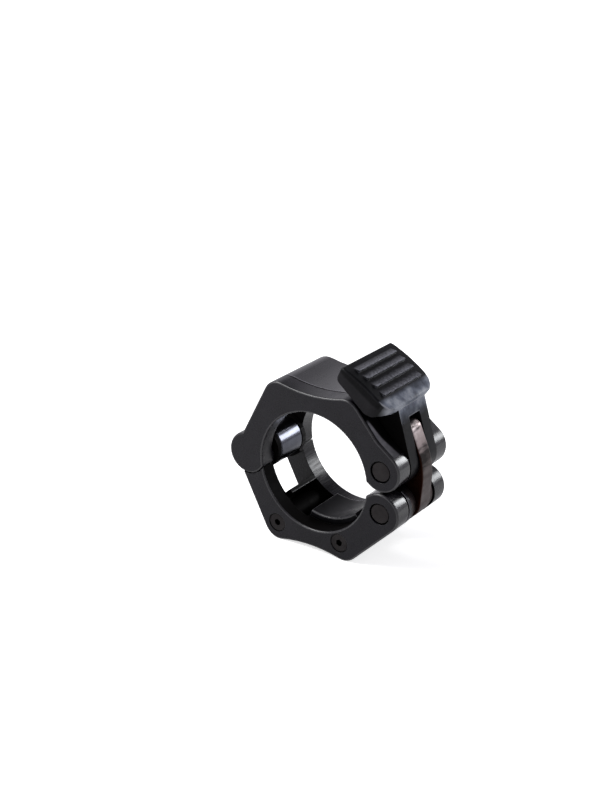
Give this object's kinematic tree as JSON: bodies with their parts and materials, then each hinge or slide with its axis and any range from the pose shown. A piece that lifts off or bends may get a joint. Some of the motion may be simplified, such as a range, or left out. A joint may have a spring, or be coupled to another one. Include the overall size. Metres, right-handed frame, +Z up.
{
  "type": "barbell collar",
  "caption": "Hinged clamp collar for a bar sleeve: two scalloped jaws, grip pads, and a ridged over-centre thumb lever with a bowed link.",
  "frame": {"origin": "centre of the bore at half the collar's width", "axes": "+Y along the bore axis, from the front face to the back face; +X from the bore towards the latch; +Z up, from the lower jaw to the upper jaw"},
  "size_m": [0.0929, 0.04, 0.0911],
  "materials": {
    "jaw_plastic": "satin black",
    "lever_plastic": "satin black, lightly mottled",
    "pad": "smooth dark polymer",
    "dark_steel": "browned steel",
    "black_steel": "black oxide",
    "bright_steel": "polished",
    "brass": "turned"
  },
  "bodies": {
    "lower_jaw": {"lower_front_plate": "jaw_plastic", "lower_jaw_body": "jaw_plastic", "lower_grip_pad": "pad", "lower_screw_hinge_side": "black_steel", "lower_screw_latch_side": "black_steel", "lower_insert_hinge_side": "brass", "lower_insert_latch_side": "brass", "link_pin": "black_steel", "link_pin_clip": "black_steel"},
    "upper_jaw": {"upper_front_plate": "jaw_plastic", "upper_jaw_body": "jaw_plastic", "upper_grip_pad": "pad", "upper_screw_hinge_side": "black_steel", "upper_screw_latch_side": "black_steel", "upper_insert_hinge_side": "brass", "upper_insert_latch_side": "brass", "hinge_pin": "black_steel", "hinge_barrel": "bright_steel", "lever_pin": "black_steel", "lever_pin_clip": "black_steel"},
    "lever": {"lever": "lever_plastic", "toggle_pin": "black_steel"},
    "link": {"toggle_link": "dark_steel"}
  },
  "joints": [
    {"name": "jaw_hinge", "type": "hinge", "parent": "lower_jaw", "child": "upper_jaw", "pos_m": [-0.0363, 0, 0], "axis": [0, -1, 0], "range_deg": [0, 8]},
    {"name": "lever_pivot", "type": "hinge", "parent": "upper_jaw", "child": "lever", "pos_m": [0.035, 0, 0.0099], "axis": [0, 1, 0], "range_deg": [0, 100]},
    {"name": "link_pivot", "type": "hinge", "parent": "lever", "child": "link", "pos_m": [0.03395, 0, 0.02185], "axis": [0, -1, 0], "range_deg": [0, 72]}
  ],
  "couplings": [
    {"joint": "jaw_hinge", "follows": "lever_pivot", "ratio": 0.079471},
    {"joint": "link_pivot", "follows": "lever_pivot", "ratio": 0.71953}
  ]
}
